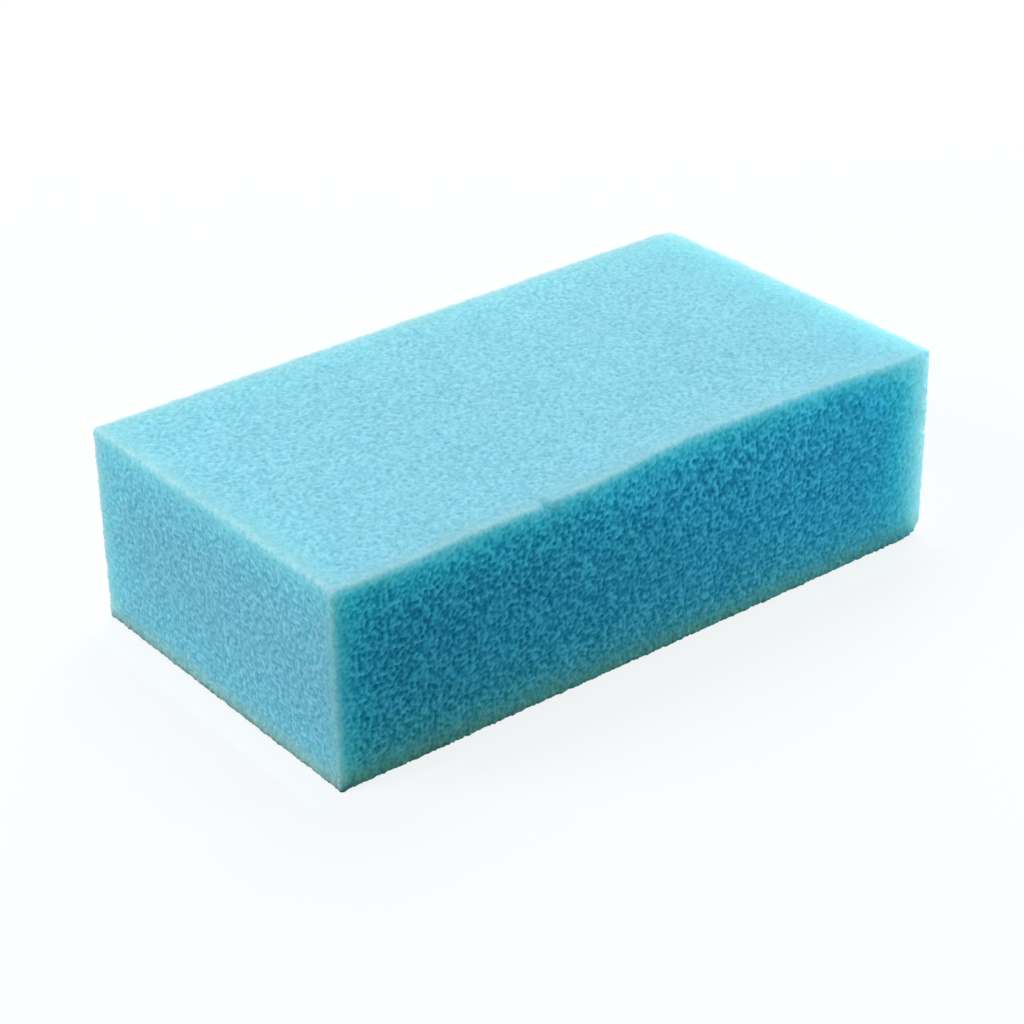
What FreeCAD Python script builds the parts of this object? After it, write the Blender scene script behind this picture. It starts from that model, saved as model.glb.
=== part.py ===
"""A rectangular block of open-cell polyurethane foam, held in the hand to wash a car.

The block is one piece, cut from a thick sheet of foam with a saw or a hot wire. It lies on one of
its two broad faces. The origin is on the surface that it lies on, under the middle of the block:
+X runs along the block, +Y across it and +Z up through its thickness. Sizes are in millimetres.
"""

import FreeCAD, Part
import os

import Sketcher

# name, size, what it is
DRIVING_SIZES = (
    ("block_length", 200.0, "long side, along X"),
    ("block_width", 108.0, "short side, along Y"),
    ("block_thickness", 57.5, "thickness of the foam sheet, along Z"),
    ("edge_rounding", 1.2, "radius that a cut foam edge softens to"),
)
SHEET_NAME = "sizes"
VOLUME_TOLERANCE = 0.01


def add_sizes(doc):
    """The spreadsheet that drives the model: a label, the size and its alias on each row."""
    sheet = doc.addObject("Spreadsheet::Sheet", SHEET_NAME)
    for row, (alias, size, meaning) in enumerate(DRIVING_SIZES, start=1):
        sheet.set(f"A{row}", meaning)
        sheet.set(f"B{row}", str(size))
        sheet.setAlias(f"B{row}", alias)
    doc.recompute()
    return sheet


def origin_plane(body, role):
    """One of the body's own three base planes."""
    return next(plane for plane in body.Origin.OriginFeatures if plane.Role == role)


def centred_rectangle(sketch, length_size, width_size):
    """A rectangle about the sketch's origin, with both sides bound to the spreadsheet."""
    corners = [FreeCAD.Vector(x, y, 0) for x, y in ((-1, -1), (1, -1), (1, 1), (-1, 1))]
    sides = range(len(corners))
    for side in sides:
        following = (side + 1) % len(corners)
        sketch.addGeometry(Part.LineSegment(corners[side], corners[following]))
    for side in sides:
        following = (side + 1) % len(corners)
        sketch.addConstraint(Sketcher.Constraint("Coincident", side, 2, following, 1))
        direction = "Horizontal" if side % 2 == 0 else "Vertical"
        sketch.addConstraint(Sketcher.Constraint(direction, side))
    front, right, back = 0, 1, 2
    sketch.addConstraint(Sketcher.Constraint("Symmetric", front, 1, back, 1, -1, 1))
    for side, kind, size in ((front, "DistanceX", length_size), (right, "DistanceY", width_size)):
        index = sketch.addConstraint(Sketcher.Constraint(kind, side, 1, side, 2, 2.0))
        sketch.setExpression(f"Constraints[{index}]", f"{SHEET_NAME}.{size}")


def add_foam_block(doc):
    """The block: the cut outline padded to the sheet's thickness, with every edge softened."""
    body = doc.addObject("PartDesign::Body", "FoamBlock")
    body.Label = "foam_block"

    outline = body.newObject("Sketcher::SketchObject", "CutOutline")
    outline.AttachmentSupport = [(origin_plane(body, "XY_Plane"), "")]
    outline.MapMode = "FlatFace"
    centred_rectangle(outline, "block_length", "block_width")
    doc.recompute()

    thickness = body.newObject("PartDesign::Pad", "SheetThickness")
    thickness.Profile = outline
    thickness.setExpression("Length", f"{SHEET_NAME}.block_thickness")
    doc.recompute()

    softened = body.newObject("PartDesign::Fillet", "SoftenedEdges")
    edge_names = [f"Edge{number}" for number in range(1, len(thickness.Shape.Edges) + 1)]
    softened.Base = (thickness, edge_names)
    softened.setExpression("Radius", f"{SHEET_NAME}.edge_rounding")
    doc.recompute()
    return body


def check_document(doc, bodies):
    """Stops if anything failed to build, or if a body isn't one sound solid."""
    for item in doc.Objects:
        if "Invalid" in item.State or "Error" in item.State:
            raise RuntimeError(f"{item.Label} did not build: {item.State}")
    for body in bodies:
        shape = body.Shape
        if shape.isNull() or not shape.isValid() or len(shape.Solids) != 1:
            raise RuntimeError(f"{body.Label} is not one sound solid")


def check_block_size(sheet, block):
    """The block fills its outline and thickness, apart from the little that rounding takes off."""
    wanted = (sheet.block_length, sheet.block_width, sheet.block_thickness)
    box = block.Shape.BoundBox
    for size, measured in zip(wanted, (box.XLength, box.YLength, box.ZLength)):
        if abs(size - measured) > VOLUME_TOLERANCE:
            raise RuntimeError(f"{block.Label} measures {measured:.3f} mm, not {size:.3f} mm")
    full_volume = sheet.block_length * sheet.block_width * sheet.block_thickness
    if not (1 - VOLUME_TOLERANCE) * full_volume < block.Shape.Volume < full_volume:
        raise RuntimeError(f"{block.Label} has a volume of {block.Shape.Volume:.0f} mm3")


def main():
    doc = FreeCAD.newDocument("FoamWashBlock")
    sheet = add_sizes(doc)
    block = add_foam_block(doc)
    check_document(doc, [block])
    check_block_size(sheet, block)

    os.makedirs("parts", exist_ok=True)
    for body in [block]:
        body.Shape.exportStep(f"parts/{body.Label}.step")
        print(f"{body.Label}: {body.Shape.Volume / 1000:.1f} cm3, {body.Shape.BoundBox}")


main()
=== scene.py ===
"""A foam wash block: one rectangular block of light blue open-cell foam, laid out as a Blender add-on.

The block is cut on all six faces, so every face shows foam cells sliced open: a hollow for each cell,
with thin walls and struts standing between the hollows. Its size and place come from the block in model.glb.
One operator makes the block and one makes the stage that it is shown on.
"""

import math

import bpy
from mathutils import Matrix, Vector


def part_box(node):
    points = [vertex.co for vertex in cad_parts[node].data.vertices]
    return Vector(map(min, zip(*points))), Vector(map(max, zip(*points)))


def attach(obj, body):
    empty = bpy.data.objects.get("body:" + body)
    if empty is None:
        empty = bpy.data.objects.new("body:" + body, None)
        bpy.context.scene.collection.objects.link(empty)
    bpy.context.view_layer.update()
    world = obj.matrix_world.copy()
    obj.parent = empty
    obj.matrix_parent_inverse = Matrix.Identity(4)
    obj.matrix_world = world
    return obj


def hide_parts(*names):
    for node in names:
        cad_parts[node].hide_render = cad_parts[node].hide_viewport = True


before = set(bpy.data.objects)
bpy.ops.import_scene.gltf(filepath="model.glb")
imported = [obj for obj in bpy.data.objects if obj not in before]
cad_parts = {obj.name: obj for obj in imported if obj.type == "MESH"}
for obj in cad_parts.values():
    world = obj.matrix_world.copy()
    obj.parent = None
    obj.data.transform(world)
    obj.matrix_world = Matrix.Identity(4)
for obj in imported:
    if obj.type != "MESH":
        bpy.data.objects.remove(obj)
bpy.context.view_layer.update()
BLOCK_LOW, BLOCK_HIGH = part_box("foam_block")
BLOCK_SIZE = BLOCK_HIGH - BLOCK_LOW
BLOCK_CENTRE = (BLOCK_LOW + BLOCK_HIGH) / 2

bl_info = {
    "name": "Foam Wash Block",
    "version": (1, 0, 0),
    "blender": (4, 5, 0),
    "location": "3D View > Sidebar > Foam Block",
    "description": "Makes a block of cut open-cell foam, with its cells and softened edges, and a stage",
    "category": "Add Mesh",
}

MM = 0.001


# Node trees -------------------------------------------------------------------------------------

CELL_IRREGULARITY = 0.8  # 0 packs the cells in a grid, 1 scatters them freely


class Formula:
    """Adds nodes to one tree and hands back their outputs, so that a rule reads in working order."""

    def __init__(self, tree):
        self.tree = tree

    def node(self, kind, inputs=(), **settings):
        """A new node. inputs pairs a socket's name or number with a value or with another output."""
        node = self.tree.nodes.new(kind)
        for name, setting in settings.items():
            setattr(node, name, setting)
        for key, value in dict(inputs).items():
            if isinstance(value, bpy.types.NodeSocket):
                self.tree.links.new(value, node.inputs[key])
            else:
                node.inputs[key].default_value = value
        return node

    def maths(self, operation, *values):
        """One step of arithmetic on numbers."""
        return self.node("ShaderNodeMath", enumerate(values), operation=operation).outputs[0]

    def vector(self, operation, *values):
        """Vector maths. The result is a number for a dot product or a length, a vector for the rest."""
        names = (0, "Scale") if operation == "SCALE" else range(len(values))
        node = self.node("ShaderNodeVectorMath", zip(names, values), operation=operation)
        return node.outputs["Value" if operation in ("DOT_PRODUCT", "LENGTH") else "Vector"]

    def part(self, vector, axis):
        """One number out of a vector or a colour: 0, 1 or 2 for x, y or z."""
        return self.node("ShaderNodeSeparateXYZ", {0: vector}).outputs[axis]

    def triple(self, value):
        """A vector with the same number along all three axes."""
        return self.node("ShaderNodeCombineXYZ", {axis: value for axis in range(3)}).outputs[0]

    def ramp(self, value, start, stop, low=0.0, high=1.0, kind="SMOOTHSTEP"):
        """low where value is at start or before it, high where it is at stop or past it."""
        ends = {"Value": value, "From Min": start, "From Max": stop, "To Min": low, "To Max": high}
        return self.node("ShaderNodeMapRange", ends, interpolation_type=kind).outputs["Result"]

    def mix(self, share, *colours):
        """The first colour where share is 0, the second where it is 1."""
        first, second = (c if isinstance(c, bpy.types.NodeSocket) else (*c, 1) for c in colours)
        node = self.node("ShaderNodeMix", {0: share, 6: first, 7: second}, data_type="RGBA")
        return node.outputs[2]

    def attribute(self, name, output="Fac"):
        """A value that the block's tree stored on its points."""
        return self.node("ShaderNodeAttribute", attribute_name=name).outputs[output]

    def cells(self, place, cell_size, feature="F1"):
        """Foam cells packed in space: bubbles grown from scattered points until they meet."""
        scale = self.maths("DIVIDE", 1.0, cell_size)
        inputs = {"Vector": place, "Scale": scale, "Randomness": CELL_IRREGULARITY}
        return self.node("ShaderNodeTexVoronoi", inputs, feature=feature).outputs

    def noise(self, place, length, detail=2.0, output="Fac"):
        """Soft cloudy variation. length is the distance from one cloud to the next."""
        scale = self.maths("DIVIDE", 1.0, length)
        inputs = {"Vector": place, "Scale": scale, "Detail": detail}
        return self.node("ShaderNodeTexNoise", inputs).outputs[output]


TREE_SOCKETS = {
    float: "NodeSocketFloat",
    int: "NodeSocketInt",
    Vector: "NodeSocketVector",
    bpy.types.Material: "NodeSocketMaterial",
}


def named_inputs(tree, values):
    """Gives the tree one input for each named value, and returns a modifier's key for each name."""
    tree.interface.new_socket("Geometry", in_out="INPUT", socket_type="NodeSocketGeometry")
    tree.interface.new_socket("Geometry", in_out="OUTPUT", socket_type="NodeSocketGeometry")
    keys = {}
    for name, value in values.items():
        kind = TREE_SOCKETS[type(value)]
        keys[name] = tree.interface.new_socket(name, in_out="INPUT", socket_type=kind).identifier
    return keys


def new_material(name):
    """An empty node material, and the formula that fills it."""
    material = bpy.data.materials.new(name)
    material.use_nodes = True
    material.node_tree.nodes.clear()
    return material, Formula(material.node_tree)


# The block's shape ------------------------------------------------------------------------------

# Each face's tile in the map: the way it faces, its own right and up, and where its middle lies,
# across and up the map, as (lengths, widths, thicknesses, gaps) added together.
MAP_TILES = (
    ((0, 0, 1), (1, 0, 0), (0, 1, 0), (0.5, 0, 0, 1), (0, 0.5, 0, 1)),
    ((0, 0, -1), (1, 0, 0), (0, -1, 0), (0.5, 0, 0, 1), (0, 1.5, 0, 2)),
    ((0, -1, 0), (1, 0, 0), (0, 0, 1), (0.5, 0, 0, 1), (0, 2, 0.5, 3)),
    ((0, 1, 0), (-1, 0, 0), (0, 0, 1), (0.5, 0, 0, 1), (0, 2, 1.5, 4)),
    ((-1, 0, 0), (0, 0, 1), (0, 1, 0), (1, 0, 0.5, 2), (0, 0.5, 0, 1)),
    ((1, 0, 0), (0, 0, 1), (0, -1, 0), (1, 0, 0.5, 2), (0, 1.5, 0, 2)),
)
MAP_EXTENT = ((1, 0, 1, 3), (0, 2, 2, 5))
MAP_GAP = 2.5 * MM
FACES_THIS_WAY = 0.5  # a square belongs to the tile that it faces by more than this

# Where hands and the cutting wire have left their mark: the middle of the mark as a share of the
# block's half size, how far it reaches, and how far it pushes the foam, in millimetres.
WORN_SPOTS = {
    "Front Edge Bulge": ((-0.84, -1.0, 1.0), (30, 20, 20), (0, -0.8, -0.3)),
    "Front Edge Bow": ((0.16, -1.0, 1.0), (42, 26, 22), (0, 2.6, 0.8)),
    "Front Edge Lean": ((0.56, -1.0, 1.0), (42, 24, 20), (0, 1.8, 0.5)),
    "Front Edge Nick": ((-0.34, -1.0, 1.0), (3.2, 4, 4), (0, 2.2, -1.0)),
    "Foot Corner Wear": ((1.0, -1.0, -1.0), (6, 6, 6), (-1.0, 0.5, 0.6)),
    "Back Corner Wear": ((1.0, 1.0, 1.0), (6, 6, 5), (-0.5, -0.5, -0.4)),
    "End Bulge": ((1.0, 0.0, 0.0), (20, 110, 70), (0.6, 0, 0)),
}

# The cells, in cell sizes except for the shares.
BEND_LENGTH = 1.4  # from one bend in the cells' walls to the next
BEND_DEPTH = 0.6
CUT_HEIGHTS = (-0.45, 0.4)  # the cut's height in the cell where it is shallowest, and where deepest
SHALLOWEST_CELL = 0.65  # as a share of the deepest
CELL_LUCK = (0.9, 1.05)  # what chance takes off a cell's depth or adds to it, as a factor
WALL_TOP = 0.03  # from the middle of a wall to where its hollow starts
TORN_SHARE = 0.55  # share of the depth that comes from torn struts instead of whole cells
TORN_SIZE = 0.8
TORN_LEVELS = (0.3, 0.7)  # where in the noise the struts are whole, and where they are torn out

# How far a face has turned from upright to flat, or from a side to an end, where a share changes over.
TURN = (0.2, 0.8)

SEED_STEP = (0.137, 0.071, 0.193)  # metres through the foam from one seed's block to the next
MESH_JITTER = 0.7  # how far points stray along the faces, in squares
RIM_FILLING = 0.6  # share of the hollows' depth that is lost at the very edges
RAGGED_LENGTH = 5 * MM  # from one ragged spot of an edge to the next, and how far in they reach
UNDERSIDE_TURN = (-0.8, -0.2)
UNDERSIDE_PROUD = 0.15  # how far struts stand out underneath, as a share of the other faces'
FLOOR_LIMIT = (-1.0, -1.0, 0.0)  # lowest place of any point: only z is ever reached

# What the material is told.
MEAN_PORE = 0.38  # the mean depth of all points, which is stored as 0.5
# share of the painted shade in the hollows that the sides get
SIDE_CONTRAST = 0.95
PALING = 0.45  # painted shade lost next to the right-hand end, where light comes through the open end
PALING_LENGTH = 50 * MM
OPEN_TOP = 0.25  # how open the top and underside are at the open end, as a share of the sides'
PAINTED_LIGHT_FOOT = 0.47  # share of painted light added along the edges on the ground: a pale yellow-green that lightens the foot where shade falls and stands in for light thrown up from the ground
PAINTED_LIGHT_EDGES = 0.08  # share of the same painted light, a pale glow, along every edge
# painted shade at the ends: its width, the faces that it covers, and its share on top
END_SHADE_WIDTH = 5 * MM
END_SHADE_TURN = (0.3, 0.9)
END_SHADE_TOP = 0.25


def block_inputs(shape, foam):
    """The tree's inputs, from the settings that a user may change."""
    values = {"Size": BLOCK_SIZE.copy(), "Centre": BLOCK_CENTRE.copy()}
    for name in shape.__annotations__:
        values[name.replace("_", " ").title()] = getattr(shape, name)
    values["Foam"] = foam
    for name, (place, reach, push) in WORN_SPOTS.items():
        values[f"{name} Place"] = Vector(place) * BLOCK_SIZE / 2
        values[f"{name} Reach"] = Vector(reach) * MM
        values[f"{name} Push"] = Vector(push) * MM
    return values


def face_map(f, size, place):
    """The map's coordinates: the six faces laid out side by side, each flat and unstretched."""
    normal = f.node("GeometryNodeInputNormal").outputs["Normal"]
    facing = f.node("GeometryNodeFieldOnDomain", {0: normal}, data_type="FLOAT_VECTOR", domain="FACE")
    facing = facing.outputs[0]

    def measure(shares):
        *parts, gaps = shares
        return f.maths("ADD", f.vector("DOT_PRODUCT", size, parts), gaps * MAP_GAP)

    total = [0.0, 0.0]
    for out, right, up, *middle in MAP_TILES:
        here = f.maths("GREATER_THAN", f.vector("DOT_PRODUCT", facing, out), FACES_THIS_WAY)
        for axis, (direction, shares) in enumerate(zip((right, up), middle)):
            along = f.vector("DOT_PRODUCT", place, direction)
            spot = f.maths("ADD", along, measure(shares))
            total[axis] = f.maths("MULTIPLY_ADD", spot, here, total[axis])
    shares = [f.maths("DIVIDE", t, measure(extent)) for t, extent in zip(total, MAP_EXTENT)]
    return f.node("ShaderNodeCombineXYZ", enumerate(shares)).outputs[0]


def skin_of_squares(f, given):
    """A closed box of small squares, as many along each side as fit."""
    size = given["Size"]
    counts = f.vector("DIVIDE", size, f.triple(given["Mesh Spacing"]))
    inputs = {"Size": size}
    for axis, name in enumerate(("Vertices X", "Vertices Y", "Vertices Z")):
        whole = f.node("FunctionNodeFloatToInt", {0: f.part(counts, axis)}, rounding_mode="CEILING")
        inputs[name] = whole.outputs[0]
    return f.node("GeometryNodeMeshCube", inputs).outputs["Mesh"]


def soften_edges(f, given, flat, half):
    """Rounds the edges. Gives each point's new place, and the way that it faces."""
    radius = given["Edge Softening"]
    core = f.vector("SUBTRACT", half, f.triple(radius))
    inner = f.vector("MAXIMUM", f.vector("MINIMUM", flat, core), f.vector("SCALE", core, -1.0))
    outward = f.vector("NORMALIZE", f.vector("SUBTRACT", flat, inner))
    return f.vector("ADD", inner, f.vector("SCALE", outward, radius)), outward


def scatter_points(f, given, place, outward):
    """Moves each point a little along its own face, so that the squares leave no pattern."""
    ends = {0: (-0.5, -0.5, -0.5), 1: (0.5, 0.5, 0.5), "Seed": given["Seed"]}
    jitter = f.node("FunctionNodeRandomValue", ends, data_type="FLOAT_VECTOR").outputs[0]
    jitter = f.vector("SCALE", jitter, f.maths("MULTIPLY", given["Mesh Spacing"], MESH_JITTER))
    out = f.vector("SCALE", outward, f.vector("DOT_PRODUCT", jitter, outward))
    return f.vector("ADD", place, f.vector("SUBTRACT", jitter, out))


def gap_to_edge(f, gaps):
    """The distance to the closest edge: the middle one of a point's distances to the three faces."""
    x, y, z = (f.part(gaps, axis) for axis in range(3))
    total = f.maths("ADD", f.maths("ADD", x, y), z)
    widest = f.maths("MAXIMUM", f.maths("MAXIMUM", x, y), z)
    return f.maths("SUBTRACT", total, widest)


def cut_cells(f, given, shifted, outward):
    """Bends the foam a little, and gives each point's place in it and its depth in a cut cell.

    A cell cut above its middle leaves a deep hollow, one cut near its floor a shallow one.
    """
    size = given["Cell Size"]
    bend = f.noise(shifted, f.maths("MULTIPLY", size, BEND_LENGTH), 1.0, "Color")
    bend = f.vector("SUBTRACT", bend, (0.5, 0.5, 0.5))
    grain = f.vector("ADD", shifted, f.vector("SCALE", bend, f.maths("MULTIPLY", size, BEND_DEPTH)))

    cell = f.cells(grain, size)
    above = f.vector("DOT_PRODUCT", f.vector("SUBTRACT", grain, cell["Position"]), outward)
    openness = f.ramp(f.maths("DIVIDE", above, size), *CUT_HEIGHTS, SHALLOWEST_CELL, 1.0)
    luck = f.ramp(f.part(cell["Color"], 0), 0.0, 1.0, *CELL_LUCK, "LINEAR")
    openness = f.maths("MULTIPLY", openness, luck)
    wall_gap = f.cells(grain, size, "DISTANCE_TO_EDGE")["Distance"]
    hollow = f.maths("MULTIPLY", openness, f.ramp(wall_gap, WALL_TOP, given["Wall Slope"]))

    torn = f.noise(grain, f.maths("MULTIPLY", size, TORN_SIZE), 0.0)
    torn = f.ramp(torn, *TORN_LEVELS, kind="LINEAR")
    pore = f.maths("MULTIPLY_ADD", torn, TORN_SHARE, f.maths("MULTIPLY", hollow, 1.0 - TORN_SHARE))
    return grain, pore


def press_in(f, given, pore, shifted, outward, edge_gap, rim):
    """How far each point is pressed in by its cell, by the wandering wire and by fraying."""
    facing_up = f.part(outward, 2)
    depth = f.ramp(f.maths("ABSOLUTE", facing_up), *TURN, 1.0, given["Flat Cell Depth"])
    depth = f.maths("MULTIPLY", depth, given["Hollow Depth"])
    depth = f.maths("MULTIPLY", depth, f.maths("MULTIPLY_ADD", rim, -RIM_FILLING, 1.0))
    pressed = f.maths("MULTIPLY", pore, depth)

    wave = f.maths("MULTIPLY", f.noise(shifted, given["Wave Length"]), given["Cut Waviness"])
    ragged = f.maths("SUBTRACT", f.noise(shifted, RAGGED_LENGTH), 0.5)
    at_edge = f.ramp(edge_gap, RAGGED_LENGTH, 0.0, 0.0, given["Ragged Edges"])
    wave = f.maths("ADD", wave, f.maths("MULTIPLY", ragged, at_edge))

    fray = f.node("FunctionNodeRandomValue", {"Seed": given["Seed"]}, data_type="FLOAT").outputs[1]
    fray = f.maths("MULTIPLY", fray, given["Frayed Ends"])
    fray = f.maths("MULTIPLY", fray, f.maths("ADD", rim, 1.0))

    pressed = f.maths("ADD", f.maths("ADD", pressed, wave), fray)
    proud = f.ramp(facing_up, *UNDERSIDE_TURN, UNDERSIDE_PROUD, 1.0)
    return f.maths("SUBTRACT", pressed, f.maths("MULTIPLY", given["Stand Proud"], proud))


def push_worn_spots(f, given, place, skin_place):
    """Moves the foam where hands and the wire have left a mark, most in the middle of each mark."""
    for name in WORN_SPOTS:
        away = f.vector("SUBTRACT", skin_place, given[f"{name} Place"])
        away = f.vector("LENGTH", f.vector("DIVIDE", away, given[f"{name} Reach"]))
        push = f.vector("SCALE", given[f"{name} Push"], f.ramp(away, 1.0, 0.0))
        place = f.vector("ADD", place, push)
    return place


def painted_pore_shade(f, given, pore, upright, endways, edge_gap, end_gap):
    """Painted shade in the cells' hollows: how dark each point looks, 0.5 on average, with less contrast at
    edges and on flat faces, set face by face to how the light falls.
    """
    shown = f.maths("MULTIPLY", f.ramp(upright, *TURN, 1.0, given["Flat Contrast"]),
                    f.ramp(endways, *TURN, 1.0, given["End Contrast"]))
    fade = f.maths("MULTIPLY", f.ramp(edge_gap, given["Fade Width"], 0.0), given["Edge Fade"])
    shown = f.maths("MULTIPLY", shown, f.maths("SUBTRACT", 1.0, fade))
    paling = f.maths("MULTIPLY", f.ramp(end_gap, PALING_LENGTH, 0.0), f.ramp(endways, *TURN, 1.0, 0.0))
    shown = f.maths("MULTIPLY", shown, f.maths("MULTIPLY_ADD", paling, -PALING, SIDE_CONTRAST))
    return f.maths("MULTIPLY_ADD", f.maths("SUBTRACT", pore, MEAN_PORE), shown, 0.5)


def painted_light_share(f, given, skin_place, half, edge_gap):
    """Share of painted light: a pale yellow-green that lightens the foot where shade falls and stands in for
    light from the ground, most of it along the edges on the ground.
    """
    height = f.part(f.vector("ADD", skin_place, half), 2)
    foot = f.ramp(height, given["Foot Height"], 0.0)
    at_edge = f.ramp(edge_gap, given["Foot Height"], 0.0)
    at_edge = f.maths("MULTIPLY", at_edge, at_edge)
    return f.maths("MULTIPLY", at_edge, f.maths("MULTIPLY_ADD", foot, PAINTED_LIGHT_FOOT, PAINTED_LIGHT_EDGES))


def painted_end_shade(f, gaps, upright, endways, open_end):
    """Share of painted shade: the top's short edges, and the sides at the open end, toned down where the
    light from the right-hand end makes them bright.
    """
    at_end = f.ramp(f.part(gaps, 0), END_SHADE_WIDTH, 0.0)
    at_end = f.maths("MULTIPLY", at_end, f.ramp(endways, *END_SHADE_TURN, 1.0, 0.0))
    on_top = f.ramp(upright, *TURN, 0.0, END_SHADE_TOP)
    return f.maths("MULTIPLY", at_end, f.maths("MAXIMUM", on_top, open_end))


def build_block_tree(values):
    """The block: a fine skin of squares, its edges softened, pressed in at each cell that was cut."""
    tree = bpy.data.node_groups.new("Cut Foam Block", "GeometryNodeTree")
    keys = named_inputs(tree, values)
    f = Formula(tree)
    given = f.node("NodeGroupInput").outputs

    geometry = skin_of_squares(f, given)
    flat = f.node("GeometryNodeInputPosition").outputs[0]
    half = f.vector("SCALE", given["Size"], 0.5)
    skin_place, outward = soften_edges(f, given, flat, half)
    skin_place = scatter_points(f, given, skin_place, outward)

    gaps = f.vector("SUBTRACT", half, f.vector("ABSOLUTE", flat))
    edge_gap = gap_to_edge(f, gaps)
    rim = f.ramp(edge_gap, given["Rim Width"], 0.0)
    upright = f.maths("ABSOLUTE", f.part(outward, 2))
    endways = f.maths("ABSOLUTE", f.part(outward, 0))
    end_gap = f.vector("DOT_PRODUCT", f.vector("SUBTRACT", half, flat), (1, 0, 0))
    open_end = f.ramp(end_gap, given["Open End"], 0.0)
    open_end = f.maths("MULTIPLY", open_end, f.ramp(upright, *TURN, 1.0, OPEN_TOP))

    shifted = f.vector("ADD", skin_place, f.vector("SCALE", SEED_STEP, given["Seed"]))
    grain, pore = cut_cells(f, given, shifted, outward)
    pressed = press_in(f, given, pore, shifted, outward, edge_gap, rim)
    place = f.vector("SUBTRACT", skin_place, f.vector("SCALE", outward, pressed))
    place = push_worn_spots(f, given, place, skin_place)
    place = f.vector("MAXIMUM", f.vector("ADD", place, given["Centre"]), FLOOR_LIMIT)

    for name, domain, kind, value in (
        ("OFBake", "CORNER", "FLOAT2", face_map(f, given["Size"], flat)),
        ("foam_place", "POINT", "FLOAT_VECTOR", grain),
        # painted shade in the cells' hollows
        ("pore", "POINT", "FLOAT", painted_pore_shade(f, given, pore, upright, endways, edge_gap, end_gap)),
        ("rim", "POINT", "FLOAT", rim),
        # painted light at the foot and along the edges
        ("aged", "POINT", "FLOAT", painted_light_share(f, given, skin_place, half, edge_gap)),
        ("open_end", "POINT", "FLOAT", open_end),
        # painted shade on the short edges and the open end
        ("dulled", "POINT", "FLOAT", painted_end_shade(f, gaps, upright, endways, open_end)),
    ):
        store = f.node("GeometryNodeStoreNamedAttribute", {"Geometry": geometry, "Name": name},
                       data_type=kind, domain=domain)
        tree.links.new(value, store.inputs["Value"])
        geometry = store.outputs[0]
    moved = f.node("GeometryNodeSetPosition", {"Geometry": geometry, "Position": place})
    smooth = f.node("GeometryNodeSetShadeSmooth", {"Geometry": moved.outputs[0]})
    real = f.node("GeometryNodeRealizeInstances", {"Geometry": smooth.outputs[0]})
    coated = f.node("GeometryNodeSetMaterial", {"Geometry": real.outputs[0], "Material": given["Foam"]})
    f.node("NodeGroupOutput", {0: coated.outputs[0]})
    return tree, keys


# Finishes ---------------------------------------------------------------------------------------

# Cycles takes a step of the subsurface radius times this share, so the scale undoes it.
REACH_SCALE = 4 * math.pi

CLOUD_LEVELS = (0.3, 0.7)  # the noise's usual lowest and highest
FINE_SIZE = 0.5 * MM  # the broken ends of struts
CLOUD_SIZE = 14 * MM  # the faint clouds in the foam's colour
CLOUD_DETAIL = 3.0
COLOUR_CHANGE = (0.97, 1.03)  # how much clouds and single cells darken or lighten the foam
PORE_RANGE = (0.13, 0.87)  # the shade of a strut's top and of a hollow's floor
FINE_SHADE = (0.75, 1.0)  # share of the darkness that the broken ends leave
LIGHT_CURVE = 1.4  # above 1, the shades in between turn darker

# Patches of the painted light at the foot and of the rim's painted glow: their size, the noise's levels, the
# strength at each.
PAINTED_LIGHT_PATCHES = (1.4 * MM, (0.35, 0.65), (0.5, 1.5))
RIM_GLOW_PATCHES = (1.2 * MM, (0.35, 0.6), (0.0, 1.0))

# how far the rim's painted glow, a paler colour, replaces the foam's colour along the edges
RIM_GLOW_STRENGTH = 0.8
# how far the painted shade darkens the ends
END_SHADE_STRENGTH = 0.5
WALL_EDGES = (0.02, 0.13)  # in cell sizes from the wall's middle, where its bump is full and gone
WALL_BUMP = 0.7
FINE_BUMP = 0.3
BUMP_STRENGTH = 0.6
BUMP_DEPTH = 0.25 * MM
ROUGHNESS = (0.88, 1.0)
SHINE = 0.25


def patches(f, place, size, levels, strengths):
    """Cloudy patches of a given size, from the first strength to the second."""
    return f.ramp(f.noise(place, size), *levels, *strengths)


def foam_colour(f, finish, shape, place, fine, aged):
    """Painted light on the struts over painted shade in the hollows, then the painted light at the foot, the
    rim's painted glow and the painted shade at the ends.
    """
    dark = f.ramp(f.attribute("pore"), *PORE_RANGE, kind="LINEAR")
    dark = f.maths("MULTIPLY", dark, f.ramp(fine, *CLOUD_LEVELS, *FINE_SHADE))
    light = f.maths("POWER", f.maths("SUBTRACT", 1.0, dark), LIGHT_CURVE)
    # lit and shaded copies of the foam's colour: painted light on the struts, painted shade in the hollows
    base = f.mix(light, finish.hollow_colour, finish.strut_colour)
    # painted light: a pale yellow-green at the foot and along the edges
    base = f.mix(aged, base, finish.aged_colour)
    # the rim's painted glow: a paler colour along the edges, where light comes through the thin foam; the
    # frayed struts themselves are in the shape
    rim = f.maths("MULTIPLY", f.attribute("rim"), patches(f, place, *RIM_GLOW_PATCHES))
    base = f.mix(f.maths("MULTIPLY", rim, RIM_GLOW_STRENGTH), base, finish.rim_colour)
    # painted shade on the top's short edges and the sides at the open end
    dulled = f.maths("MULTIPLY", f.attribute("dulled"), END_SHADE_STRENGTH)
    base = f.mix(dulled, base, finish.dulled_colour)

    cloud = f.noise(place, CLOUD_SIZE, CLOUD_DETAIL)
    cell_tint = f.part(f.cells(place, shape.cell_size)["Color"], 1)
    tone = f.maths("MULTIPLY", f.ramp(cloud, *CLOUD_LEVELS, *COLOUR_CHANGE, "LINEAR"),
                   f.ramp(cell_tint, 0.0, 1.0, *COLOUR_CHANGE, "LINEAR"))
    return f.vector("SCALE", base, tone)


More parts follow.
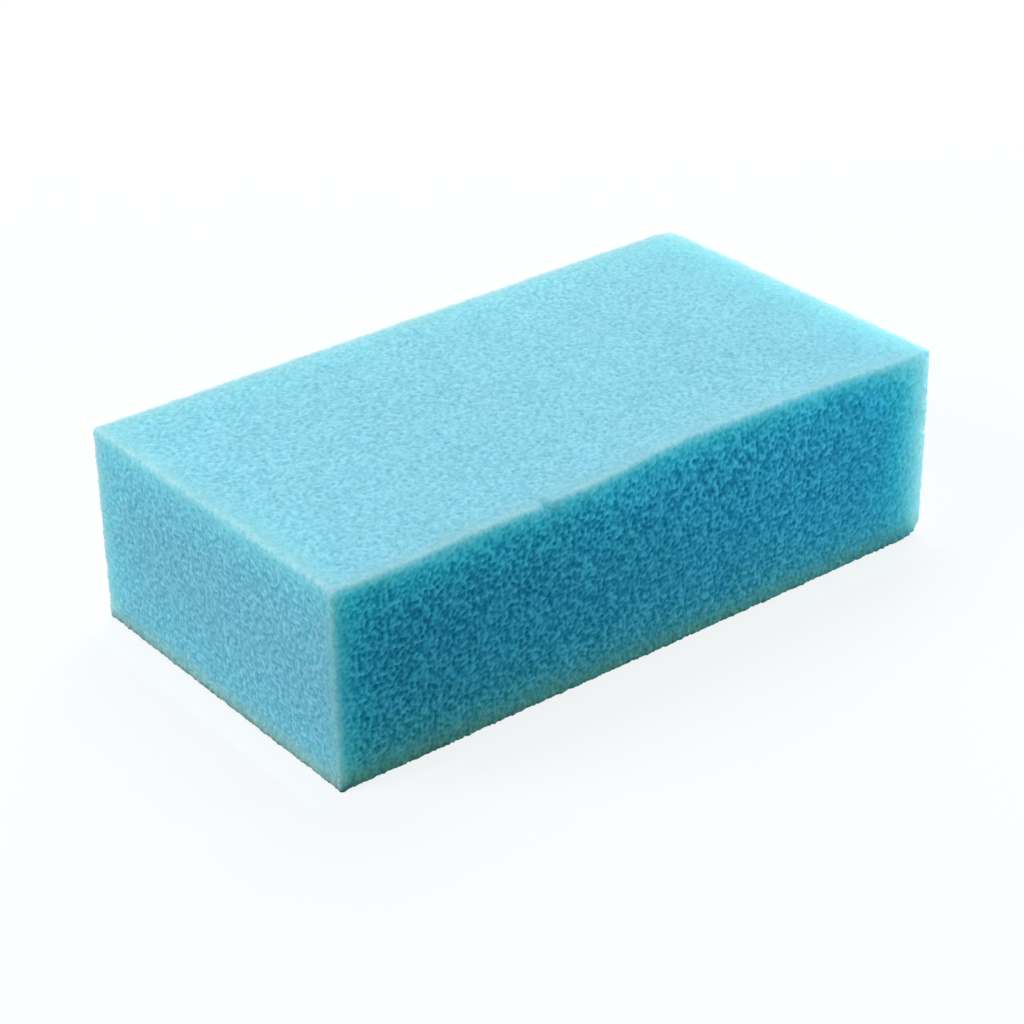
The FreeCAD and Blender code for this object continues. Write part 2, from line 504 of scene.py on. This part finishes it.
def foam_bump(f, shape, place, fine):
    """Cell walls and broken struts that are too fine for the mesh."""
    wall_gap = f.cells(place, shape.cell_size, "DISTANCE_TO_EDGE")["Distance"]
    wall = f.maths("MULTIPLY", f.ramp(wall_gap, *WALL_EDGES, 1.0, 0.0), WALL_BUMP)
    height = f.maths("MULTIPLY_ADD", fine, FINE_BUMP, wall)
    inputs = {"Height": height, "Strength": BUMP_STRENGTH, "Distance": BUMP_DEPTH}
    return f.node("ShaderNodeBump", inputs).outputs[0]


def foam_material(finish, shape):
    """Blue foam that carries light inside, further at the open end."""
    material, f = new_material("Blue Foam")
    place = f.attribute("foam_place", "Vector")
    fine = f.noise(place, FINE_SIZE)
    # painted light at the foot and along the edges, broken into patches
    aged = f.maths("MULTIPLY", f.attribute("aged"), patches(f, place, *PAINTED_LIGHT_PATCHES))
    reach = f.node("ShaderNodeMix", {0: f.attribute("open_end"), 4: finish.light_reach, 5: finish.end_reach},
                   data_type="VECTOR")
    surface = f.node("ShaderNodeBsdfPrincipled", {
        "Base Color": foam_colour(f, finish, shape, place, fine, aged),
        "Roughness": f.ramp(fine, *CLOUD_LEVELS, *ROUGHNESS),
        "Normal": foam_bump(f, shape, place, fine),
        # where the painted light is full, only half the light travels inside, so the foot loses less of it
        # to the shaded floor
        "Subsurface Weight": f.ramp(aged, 0.0, 1.0, finish.subsurface, finish.subsurface / 2, "LINEAR"),
        "Subsurface Radius": reach.outputs[1],
        "Subsurface Scale": REACH_SCALE,
        "Specular IOR Level": SHINE,
    }, subsurface_method="RANDOM_WALK")
    f.node("ShaderNodeOutputMaterial", {"Surface": surface.outputs[0]})
    return material


FLOOR_ROUGHNESS = 0.9
FLOOR_SHINE = 0.1
GLOW_RANGE = (0.3, 1.2)  # metres from the block where the floor's own glow starts and stops growing
GLOW_SHARES = (0.85, 1.0)


def floor_material(stage):
    """A pale floor that shows a faint shadow near the block and is plain white further away."""
    material, f = new_material("Pale Floor")
    seen = f.node("ShaderNodeLightPath").outputs["Is Camera Ray"]
    surface = f.node("ShaderNodeBsdfPrincipled", {
        "Base Color": f.mix(seen, stage.floor_bounce, stage.floor_colour),
        "Roughness": FLOOR_ROUGHNESS,
        "Specular IOR Level": FLOOR_SHINE,
    })
    glow = f.node("ShaderNodeEmission", {"Color": (1, 1, 1, 1), "Strength": 1.0})
    away = f.vector("LENGTH", f.node("ShaderNodeTexCoord").outputs["Object"])
    share = f.maths("MULTIPLY", seen, f.ramp(away, *GLOW_RANGE, *GLOW_SHARES))
    mixed = f.node("ShaderNodeMixShader", {0: share, 1: surface.outputs[0], 2: glow.outputs[0]})
    f.node("ShaderNodeOutputMaterial", {"Surface": mixed.outputs[0]})
    return material


# Settings ---------------------------------------------------------------------------------------


class FoamShapeSettings(bpy.types.PropertyGroup):
    """Sizes of the block's skin and of its cells."""

    mesh_spacing: bpy.props.FloatProperty(
        name="Mesh Spacing", description="Side of one square of the skin",
        default=0.45 * MM, min=0.2 * MM, unit="LENGTH", precision=5)
    edge_softening: bpy.props.FloatProperty(
        name="Edge Softening", description="Radius of the softened edges",
        default=0.7 * MM, unit="LENGTH", precision=5)
    cell_size: bpy.props.FloatProperty(
        name="Cell Size", description="Side of the cube that each foam cell has to itself",
        default=1.6 * MM, unit="LENGTH", precision=5)
    hollow_depth: bpy.props.FloatProperty(
        name="Hollow Depth", description="Depth of a cell that is cut through its middle",
        default=0.9 * MM, unit="LENGTH", precision=5)
    wall_slope: bpy.props.FloatProperty(
        name="Wall Slope", description="Share of a cell from its wall to the floor of its hollow",
        default=0.36, subtype="FACTOR")
    flat_cell_depth: bpy.props.FloatProperty(
        name="Flat Cell Depth",
        description="Depth of the cells on top and underneath, as a share of the sides'",
        default=0.6, subtype="FACTOR")
    # how strong the painted shade in the hollows is on each face, set to how the light falls on it
    flat_contrast: bpy.props.FloatProperty(
        name="Flat Contrast",
        description="How dark the cells look on top and underneath, as a share of the sides'",
        default=0.30, subtype="FACTOR")
    end_contrast: bpy.props.FloatProperty(
        name="End Contrast", description="How dark the cells look on the two ends, as a share of the sides'",
        default=0.60, subtype="FACTOR")
    stand_proud: bpy.props.FloatProperty(
        name="Stand Proud", description="How far the cut struts stand out past the block's true faces",
        default=0.75 * MM, unit="LENGTH", precision=5)
    cut_waviness: bpy.props.FloatProperty(
        name="Cut Waviness", description="How far the cutting wire wandered",
        default=0.2 * MM, unit="LENGTH", precision=5)
    wave_length: bpy.props.FloatProperty(
        name="Wave Length", description="Distance from one wave of the cut to the next",
        default=30 * MM, unit="LENGTH", precision=5)
    frayed_ends: bpy.props.FloatProperty(
        name="Frayed Ends", description="How unevenly the cut struts stand",
        default=0.12 * MM, unit="LENGTH", precision=5)
    ragged_edges: bpy.props.FloatProperty(
        name="Ragged Edges", description="How far the cut edges wander in and out",
        default=0.4 * MM, unit="LENGTH", precision=5)
    edge_fade: bpy.props.FloatProperty(
        name="Edge Fade", description="How much of the cells' darkness is lost at the very edges",
        default=0.6, subtype="FACTOR")
    fade_width: bpy.props.FloatProperty(
        name="Fade Width", description="How far in from an edge the cells take to look fully dark",
        default=8 * MM, unit="LENGTH", precision=5)
    # the rim's paleness is painted glow; its filled hollows and frayed struts are in the shape
    rim_width: bpy.props.FloatProperty(
        name="Rim Width", description="Width of the paler, frayed rim along each edge",
        default=2.2 * MM, unit="LENGTH", precision=5)
    # the height of the painted light at the foot
    foot_height: bpy.props.FloatProperty(
        name="Foot Height", description="How far up from the ground the foam has yellowed",
        default=12 * MM, unit="LENGTH", precision=5)
    open_end: bpy.props.FloatProperty(
        name="Open End", description="Length of the right-hand end where light goes further in",
        default=26 * MM, unit="LENGTH", precision=5)
    seed: bpy.props.IntProperty(name="Seed", description="Picks another piece of foam", default=3)


class FoamFinishSettings(bpy.types.PropertyGroup):
    """Colours of the foam and how far light goes into it."""

    # lit and shaded copies of the foam's colour: painted light on the struts, painted shade in the hollows
    strut_colour: bpy.props.FloatVectorProperty(
        name="Strut Colour", description="Cut struts and walls at the surface",
        default=(0.54, 0.96, 1.0), subtype="COLOR", min=0, max=1)
    hollow_colour: bpy.props.FloatVectorProperty(
        name="Hollow Colour", description="Deep in an open cell",
        default=(0.045, 0.35, 0.47), subtype="COLOR", min=0, max=1)
    # painted glow along the edges, over the frayed struts of the shape
    rim_colour: bpy.props.FloatVectorProperty(
        name="Rim Colour", description="Frayed struts along the edges",
        default=(0.43, 0.76, 0.71), subtype="COLOR", min=0, max=1)
    # painted light: a pale yellow-green for the foot and edges, standing in for light thrown up from the
    # ground
    aged_colour: bpy.props.FloatVectorProperty(
        name="Aged Colour", description="Foam that has yellowed, near the ground and at the edges",
        default=(0.72, 0.97, 0.52), subtype="COLOR", min=0, max=1)
    # painted shade that tones down the short edges and the open end, where the right-hand light makes them
    # bright
    dulled_colour: bpy.props.FloatVectorProperty(
        name="Dulled Colour", description="Foam that handling has dulled along the short edges",
        default=(0.24, 0.37, 0.35), subtype="COLOR", min=0, max=1)
    subsurface: bpy.props.FloatProperty(
        name="Light Carried", description="Share of the light that travels through the foam",
        default=0.92, subtype="FACTOR", min=0, max=1)
    light_reach: bpy.props.FloatVectorProperty(
        name="Light Reach", description="How far light goes between two struts: red, green, blue",
        default=(1.4 * MM, 2.8 * MM, 2.3 * MM), unit="LENGTH", precision=5)
    end_reach: bpy.props.FloatVectorProperty(
        name="End Light Reach", description="The same at the right-hand end, where the foam is more open",
        default=(3.8 * MM, 3.8 * MM, 2.4 * MM), unit="LENGTH", precision=5)


class StageSettings(bpy.types.PropertyGroup):
    """The floor, the lights and the camera."""

    floor_colour: bpy.props.FloatVectorProperty(
        name="Floor Colour", description="The pale floor as it is seen",
        default=(0.92, 0.92, 0.92), subtype="COLOR", min=0, max=1)
    floor_bounce: bpy.props.FloatVectorProperty(
        name="Floor Bounce", description="Colour of the light that the floor throws back up",
        default=(0.04, 0.15, 0.10), subtype="COLOR", min=0, max=1)
    azimuth: bpy.props.FloatProperty(
        name="Azimuth", description="How far round the camera stands",
        default=math.radians(-37.89), subtype="ANGLE")
    elevation: bpy.props.FloatProperty(
        name="Elevation", description="How far above the horizon the camera stands",
        default=math.radians(29.31), subtype="ANGLE")
    roll: bpy.props.FloatProperty(
        name="Roll", description="How far the camera leans", default=math.radians(-0.984), subtype="ANGLE")
    distance: bpy.props.FloatProperty(
        name="Distance", description="From the camera to the block's middle, in block lengths",
        default=3.7518)
    lens: bpy.props.FloatProperty(
        name="Lens", description="Focal length in millimetres", default=96.61)


SETTINGS = {
    "foam_shape": FoamShapeSettings,
    "foam_finish": FoamFinishSettings,
    "foam_stage": StageSettings,
}


# Operators --------------------------------------------------------------------------------------


class OBJECT_OT_foam_block(bpy.types.Operator):
    """Make the block of cut foam"""

    bl_idname = "object.add_foam_block"
    bl_label = "Add Foam Block"

    def execute(self, context):
        shape, finish = context.scene.foam_shape, context.scene.foam_finish
        foam = foam_material(finish, shape)
        values = block_inputs(shape, foam)
        tree, keys = build_block_tree(values)

        holder = bpy.data.objects.new("foam_block_skin", bpy.data.meshes.new("empty"))
        context.scene.collection.objects.link(holder)
        modifier = holder.modifiers.new("Cut Foam", "NODES")
        modifier.node_group = tree
        for name, value in values.items():
            modifier[keys[name]] = value[:] if isinstance(value, Vector) else value
        graph = context.evaluated_depsgraph_get()
        mesh = bpy.data.meshes.new_from_object(holder.evaluated_get(graph), depsgraph=graph)
        holder.modifiers.clear()
        holder.data = mesh
        if not mesh.polygons:
            raise RuntimeError("the foam block came out empty")

        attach(holder, "root")
        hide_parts("foam_block")
        return {"FINISHED"}


class OBJECT_OT_foam_stage(bpy.types.Operator):
    """Make the floor, the lights and the camera"""

    bl_idname = "object.add_foam_stage"
    bl_label = "Add Stage"

    def execute(self, context):
        stage = context.scene.foam_stage
        add_floor(context, stage)
        add_lights(context)
        add_camera(context, stage)
        context.scene.view_settings.view_transform = "Standard"
        return {"FINISHED"}


FLOOR_REACH = 6.0  # metres from the middle of the floor to each side


def add_floor(context, stage):
    """A wide floor for the block to stand on."""
    mesh = bpy.data.meshes.new("studio_floor")
    corners = [(x * FLOOR_REACH, y * FLOOR_REACH, 0) for x, y in ((-1, -1), (1, -1), (1, 1), (-1, 1))]
    mesh.from_pydata(corners, [], [(0, 1, 2, 3)])
    mesh.materials.append(floor_material(stage))
    floor = bpy.data.objects.new("studio_floor", mesh)
    context.scene.collection.objects.link(floor)


STRAIGHT_UP = 1e-6  # less sideways than this counts as looking straight up or down


def aim(place, target):
    """Turns something at place so that it looks at target."""
    away = (Vector(place) - Vector(target)).normalized()
    side = Vector((0, 0, 1)).cross(away)
    side = side.normalized() if side.length > STRAIGHT_UP else Vector((1, 0, 0))
    return Matrix((side, away.cross(side), away)).transposed().to_4x4()


BLOCK_MIDDLE = (0, 0, 0.029)
BLOCK_FOOT = (0, 0, 0.003)

# name, place, what it faces, width and height of the panel, power, colour
LIGHTS = (
    ("key", (-1.20, 0.42, 0.80), BLOCK_MIDDLE, (0.8, 0.8), 21.3, (0.61, 0.79, 0.94)),
    ("overhead", (0.5, 0.5, 1.45), BLOCK_MIDDLE, (1.2, 1.2), 17.5, (1.0, 0.965, 1.0)),
    ("right", (1.15, 0.85, 0.45), BLOCK_MIDDLE, (0.7, 0.7), 8.2, (1.0, 0.84, 0.25)),
    ("front", (0.62, -0.36, 0.14), BLOCK_MIDDLE, (0.25, 0.25), 5.1, (0.090, 0.54, 0.875)),
    ("back", (0, 0.9, 0.030), BLOCK_MIDDLE, (0.6, 0.05), 1.9, (0.10, 0.40, 1.0)),
    ("front foot", (0, -0.0635, 0.003), BLOCK_FOOT, (0.21, 0.004), 0.0014, (0.50, 1.0, 0.10)),
    ("left foot", (-0.1095, 0, 0.003), BLOCK_FOOT, (0.11, 0.004), 0.0012, (0.05, 1.0, 1.0)),
)
SKY_COLOUR = (0.25, 0.65, 1.0)
SKY_STRENGTH = 0.06


def add_lights(context):
    """The lamps, and a faint blue sky that the camera sees as plain white."""
    for name, place, target, sides, power, colour in LIGHTS:
        lamp = bpy.data.lights.new(name, "AREA")
        lamp.shape = "RECTANGLE"
        lamp.energy = power
        lamp.color = colour
        lamp.size, lamp.size_y = sides
        holder = bpy.data.objects.new(name, lamp)
        holder.matrix_world = Matrix.Translation(place) @ aim(place, target)
        holder.visible_camera = False
        context.scene.collection.objects.link(holder)
    world = bpy.data.worlds.new("studio")
    world.use_nodes = True
    world.node_tree.nodes.clear()
    f = Formula(world.node_tree)
    seen = f.node("ShaderNodeLightPath").outputs["Is Camera Ray"]
    colour = f.mix(seen, SKY_COLOUR, (1, 1, 1))
    strength = f.ramp(seen, 0.0, 1.0, SKY_STRENGTH, 1.0, "LINEAR")
    back = f.node("ShaderNodeBackground", {"Color": colour, "Strength": strength})
    f.node("ShaderNodeOutputWorld", {"Surface": back.outputs[0]})
    context.scene.world = world


# How far the camera stands to the left of the block's middle and below it, in block lengths.
CAMERA_LEFT = 0.01367
CAMERA_BELOW = 0.03957


def add_camera(context, stage):
    """The camera, set by its angles and by its distance from the block."""
    azimuth, elevation, roll = stage.azimuth, stage.elevation, stage.roll
    out = math.cos(elevation)
    away = Vector((math.sin(azimuth) * out, -math.cos(azimuth) * out, math.sin(elevation)))
    level = Vector((0, 0, 1)).cross(away).normalized()
    plumb = away.cross(level)
    right = level * math.cos(roll) + plumb * math.sin(roll)
    up = plumb * math.cos(roll) - level * math.sin(roll)
    lens = bpy.data.cameras.new("camera")
    lens.lens = stage.lens
    camera = bpy.data.objects.new("camera", lens)
    offset = away * stage.distance - right * CAMERA_LEFT - up * CAMERA_BELOW
    place = BLOCK_CENTRE + offset * BLOCK_SIZE.x
    camera.matrix_world = Matrix.Translation(place) @ Matrix((right, up, away)).transposed().to_4x4()
    context.scene.collection.objects.link(camera)
    context.scene.camera = camera


class VIEW3D_PT_foam_block(bpy.types.Panel):
    """Sizes, colours and stage of the foam block"""

    bl_idname = "VIEW3D_PT_foam_block"
    bl_label = "Foam Wash Block"
    bl_space_type = "VIEW_3D"
    bl_region_type = "UI"
    bl_category = "Foam Block"

    def draw(self, context):
        for holder, settings in SETTINGS.items():
            box = self.layout.box()
            for name in settings.__annotations__:
                box.prop(getattr(context.scene, holder), name)
        self.layout.operator("object.add_foam_block")
        self.layout.operator("object.add_foam_stage")


CLASSES = (*SETTINGS.values(), OBJECT_OT_foam_block, OBJECT_OT_foam_stage, VIEW3D_PT_foam_block)


def register():
    for item in CLASSES:
        bpy.utils.register_class(item)
    for name, settings in SETTINGS.items():
        setattr(bpy.types.Scene, name, bpy.props.PointerProperty(type=settings))


def unregister():
    for name in SETTINGS:
        delattr(bpy.types.Scene, name)
    for item in reversed(CLASSES):
        bpy.utils.unregister_class(item)


def main():
    """Makes the block and its stage."""
    register()
    bpy.ops.object.add_foam_block()
    bpy.ops.object.add_foam_stage()


if __name__ == "__main__":
    main()
